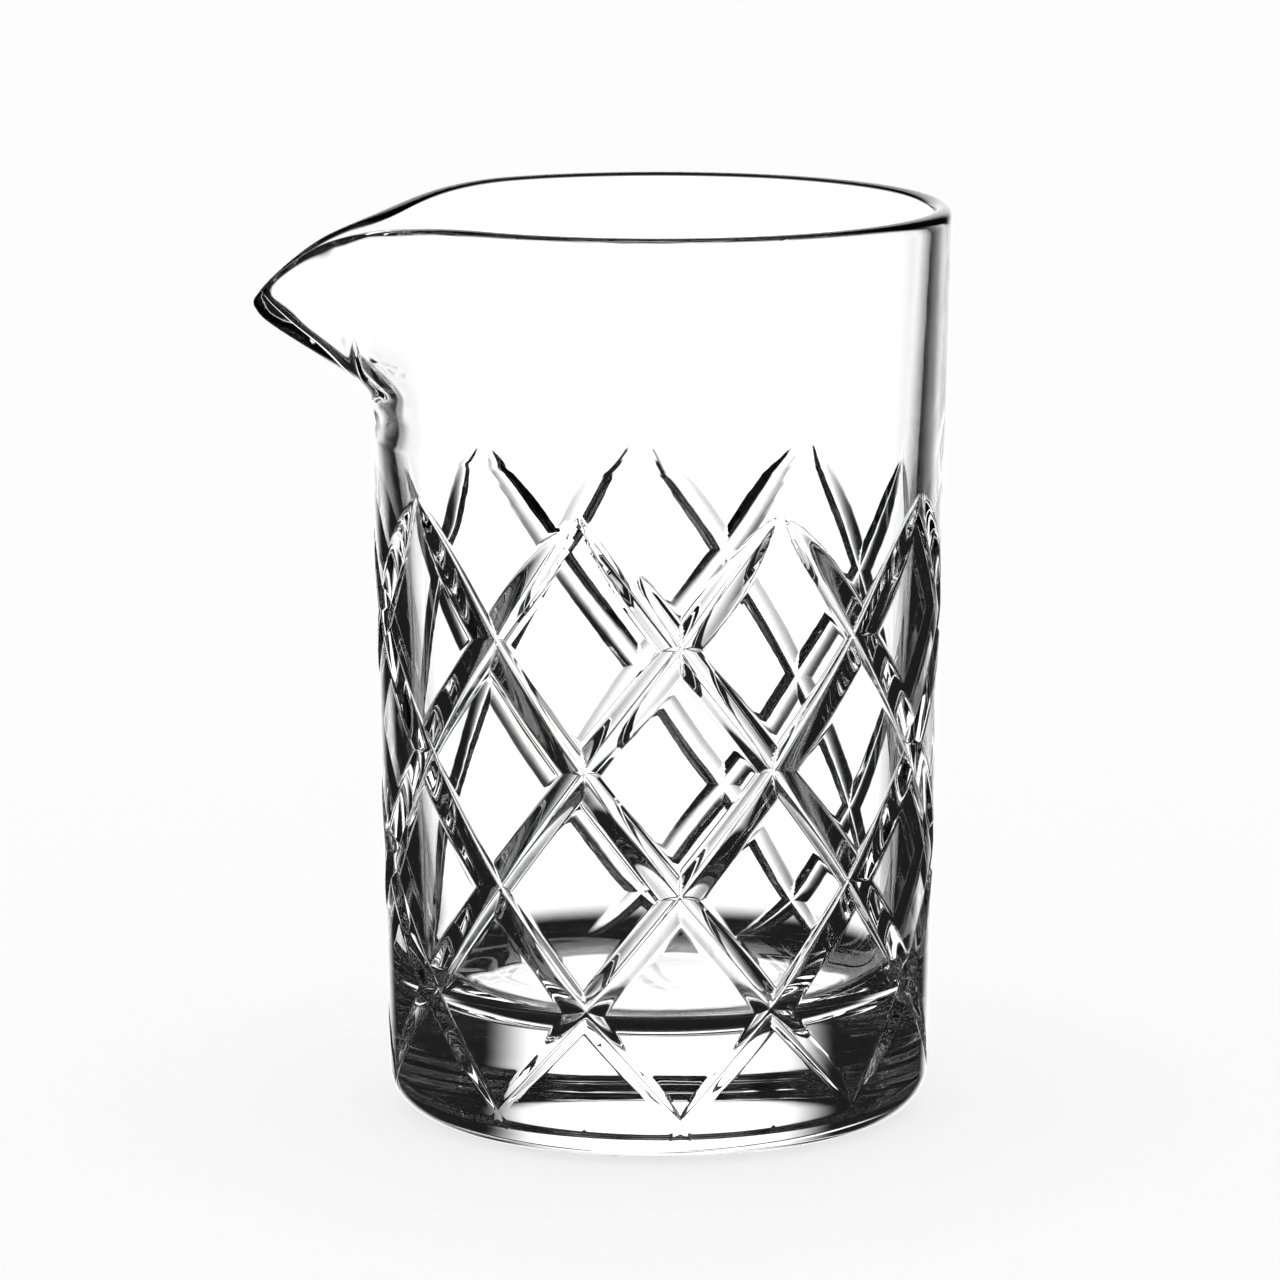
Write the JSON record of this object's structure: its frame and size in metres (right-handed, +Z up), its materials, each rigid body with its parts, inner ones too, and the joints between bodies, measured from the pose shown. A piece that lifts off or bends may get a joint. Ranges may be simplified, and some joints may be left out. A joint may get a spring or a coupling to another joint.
{
  "type": "mixing glass",
  "caption": "Heavy straight-sided cut-glass mixing glass with a thick base, a pulled pouring beak and a diamond pattern of crossing mitre cuts.",
  "frame": {"origin": "centre of the flat underside, on the plane the glass stands on", "axes": "+Z up along the axis of the glass; the pouring beak points along -X; +Y completes the right-handed frame"},
  "size_m": [0.1143, 0.0958, 0.15],
  "materials": {
    "clear_glass": "clear colourless polished glass"
  },
  "bodies": {
    "root": {"glass_body": "clear_glass"}
  },
  "joints": []
}
